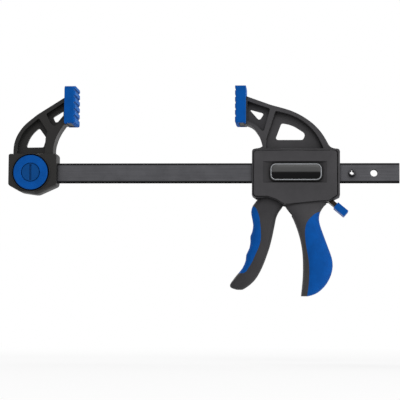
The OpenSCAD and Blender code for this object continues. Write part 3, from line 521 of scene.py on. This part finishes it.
def pour_dome(rim_name, rim_wall, radius, rise, rings, corner_steps, flatness, depth):
    """The dome inside a rim, in metres: depth is how far its foot lies behind the rim's face."""
    low, high = (Vector(corner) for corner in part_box(rim_name))
    half_length, half_height = (high.x - low.x) / 2 - rim_wall, (high.z - low.z) / 2 - rim_wall
    outline = rounded_ring(half_length, half_height, radius, corner_steps)
    reach = half_length - half_height
    shape = bmesh.new()
    loops = []
    for k in range(rings):
        share = math.cos(math.pi / 2 * k / rings)
        lift = rise * (1 - share ** flatness)
        loops.append([shape.verts.new((
            max(-reach, min(reach, x)) * (1 - share) + x * share, -lift, z * share)) for x, z in outline])
    for lower, upper in zip(loops, loops[1:]):
        for k in range(len(outline)):
            n = (k + 1) % len(outline)
            shape.faces.new((lower[k], lower[n], upper[n], upper[k]))
    shape.faces.new(loops[-1])
    shape.faces.new(loops[0][::-1])
    bmesh.ops.recalc_face_normals(shape, faces=shape.faces)
    for face in shape.faces:
        face.smooth = True
    mesh = bpy.data.meshes.new("badge_dome")
    shape.to_mesh(mesh)
    shape.free()
    dome = bpy.data.objects.new("badge_dome", mesh)
    dome.location = ((low.x + high.x) / 2, low.y + depth, (low.z + high.z) / 2)
    bpy.context.scene.collection.objects.link(dome)
    dress(dome, label)
    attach(dome, "sliding_jaw")
    return dome


dome = pour_dome("badge_rim", rim_wall=0.0008, radius=0.0039, rise=0.0007, rings=6, corner_steps=6,
                 flatness=5, depth=0.00025)
print("dome:", [round(1000 * side, 1) for side in dome.dimensions], "mm")


# %% [markdown]
# ## Springs on their bodies
# Three coil springs push a moving piece away from a wall. The coil from CAD has one length, so at the end
# of a joint's travel the moving piece would stand in it. A copy of each coil, with a mesh of its own,
# takes its place on the body it belongs to, and the CAD coil is hidden. The table also lists each
# spring's joint and how far it gives at the end of that joint's travel, and that give is printed. The
# brake plate tilts, so its spring gives a little more than the plate's middle travels.

# %% Put a copy of each spring on its body
def springy(name, body, axis):
    coil = bpy.data.objects.new(name + "_coil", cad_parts[name].data.copy())
    coil.matrix_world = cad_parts[name].matrix_world
    bpy.context.scene.collection.objects.link(coil)
    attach(coil, body)
    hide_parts(name)
    low, high = (Vector(corner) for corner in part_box(name))
    length = (high - low).dot(Vector(axis))
    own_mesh(coil)
    return length


for name, body, joint, axis, give in (
        ("drive_spring", "sliding_jaw", "drive_advance", (1, 0, 0), 0.0066),
        ("brake_spring", "sliding_jaw", "release_tilt", (1, 0, 0), 0.0031),
        ("lock_spring", "root", "lock_push", (0, 1, 0), 0.003)):
    length = springy(name, body, axis)
    print(name, "is", round(1000 * length, 1), "mm long and gives", round(1000 * give, 1), "mm")


# %% [markdown]
# ## Floor and light
# The floor is a plain white sheet under the clamp. The camera sees it and the world behind it as
# plain white, and so do gloss and glass, while the sheet keeps the clamp's soft shadow. Away from the
# clamp the lamps are weaker, so there the sheet's share of plain white grows until no edge shows against
# the world. Like a light table, the sheet also glows from below, so that the undersides aren't black.
# The light on the clamp itself stays at a plain level, so that a colour comes out about as it was picked.

# %% What sees plain white
def sees_white(tree):
    """1 for rays from the camera, off gloss and through glass, and 0 for the light on the clamp."""
    rays = put(tree, "ShaderNodeLightPath").outputs
    seen = put(tree, "ShaderNodeMath", {
        0: rays["Is Camera Ray"], 1: rays["Is Glossy Ray"]}, operation="MAXIMUM").outputs["Value"]
    return put(tree, "ShaderNodeMath", {
        0: seen, 1: rays["Is Transmission Ray"]}, operation="MAXIMUM").outputs["Value"]


# %% The white sheet
def white_sheet(size, height, under_glow, near, far, near_white):
    """A sheet whose share of plain white grows from near_white to 1 between near and far, in metres."""
    mesh = bpy.data.meshes.new("floor")
    half = size / 2
    points = [(x * half, y * half, height) for x, y in ((-1, -1), (1, -1), (1, 1), (-1, 1))]
    mesh.from_pydata(points, [], [(0, 1, 2, 3)])
    floor = bpy.data.objects.new("floor", mesh)
    bpy.context.scene.collection.objects.link(floor)
    finish, tree = new_finish("white sheet")
    paper = put(tree, "ShaderNodeBsdfDiffuse", {"Color": linear("#e4e4e4")}).outputs["BSDF"]
    glow = put(tree, "ShaderNodeEmission", {"Color": (1, 1, 1, 1), "Strength": 1.0}).outputs["Emission"]
    place = put(tree, "ShaderNodeNewGeometry").outputs["Position"]
    away = put(tree, "ShaderNodeVectorMath", {0: place}, operation="LENGTH").outputs["Value"]
    white = put(tree, "ShaderNodeMapRange", {
        "Value": away, "From Min": near, "From Max": far, "To Min": near_white}).outputs["Result"]
    share = put(tree, "ShaderNodeMapRange", {
        "Value": sees_white(tree), "To Min": under_glow, "To Max": white})
    mixed = put(tree, "ShaderNodeMixShader", {0: share.outputs["Result"], 1: paper, 2: glow})
    put(tree, "ShaderNodeOutputMaterial", {"Surface": mixed.outputs["Shader"]})
    mesh.materials.append(finish)
    return floor


floor = white_sheet(size=12.0, height=-0.24, under_glow=0.7, near=0.4, far=1.4, near_white=0.8)
print("floor at", floor.data.vertices[0].co.z, "m")

# %% [markdown]
# A studio room is lit all round, with a large soft lamp in front and above. A second one from the right
# rakes the ends of the pieces, and a third behind lifts the back, so that no side of the clamp is dull.

# %% The world
world = bpy.data.worlds.new("studio")
bpy.context.scene.world = world
world.use_nodes = True
sky = world.node_tree
sky.nodes.clear()
room_light = 0.33
level = put(sky, "ShaderNodeMapRange", {"Value": sees_white(sky), "To Min": room_light, "To Max": 1.0})
light = put(sky, "ShaderNodeBackground", {"Color": (1, 1, 1, 1), "Strength": level.outputs["Result"]})
put(sky, "ShaderNodeOutputWorld", {"Surface": light.outputs["Background"]})
print("room light on the clamp:", room_light)


# %% The lamps
def softbox(name, place, aim, size, watts):
    lamp = bpy.data.lights.new(name, "AREA")
    lamp.shape = "SQUARE"
    lamp.size = size
    lamp.energy = watts
    holder = bpy.data.objects.new(name, lamp)
    holder.location = place
    holder.rotation_euler = (Vector(aim) - Vector(place)).to_track_quat("-Z", "Y").to_euler()
    bpy.context.scene.collection.objects.link(holder)
    return holder


middle = (0.12, 0.0, -0.08)
lamps = [
    softbox("front lamp", (0.45, -1.45, 1.1), middle, size=1.0, watts=15.0),
    softbox("side lamp", (2.6, -0.9, -0.2), middle, size=1.2, watts=42.0),
    softbox("back lamp", (-0.5, 1.3, 1.3), middle, size=1.0, watts=26.0),
]
print("lamps:", [(lamp.name, lamp.data.energy) for lamp in lamps])


# %% [markdown]
# ## Camera
# A long lens from a good way off keeps the bar's edges nearly parallel. It stands a little to the
# right of the clamp and below it, so that the pads' ribs and the undersides of the jaws show. Its
# three axes are worked out from how far it turns, rises and rolls.

# %% The camera
camera_place = (0.2150, -1.4000, -0.2120)
turn, rise, roll = math.radians(3.256), math.radians(-4.257), math.radians(0.302)
back = Vector((math.sin(turn) * math.cos(rise), -math.cos(turn) * math.cos(rise), math.sin(rise)))
right = (-back).cross(Vector((0, 0, 1))).normalized()
up = right.cross(-back)
lens_right = math.cos(roll) * right + math.sin(roll) * up
lens_up = -math.sin(roll) * right + math.cos(roll) * up
camera = bpy.data.objects.new("camera", bpy.data.cameras.new("camera"))
camera.data.sensor_fit = "HORIZONTAL"
camera.data.sensor_width = 36
camera.data.lens = 135.13
camera.data.shift_x = -0.049
camera.data.shift_y = 0.0506
camera.data.clip_start = 0.05
camera.data.clip_end = 40
axes = Matrix((lens_right, lens_up, back)).transposed().to_4x4()
camera.matrix_world = Matrix.Translation(camera_place) @ axes
bpy.context.scene.collection.objects.link(camera)
bpy.context.scene.camera = camera
bpy.context.scene.view_settings.view_transform = "Standard"
print("camera", [round(v, 3) for v in camera.location], "lens", camera.data.lens, "mm")
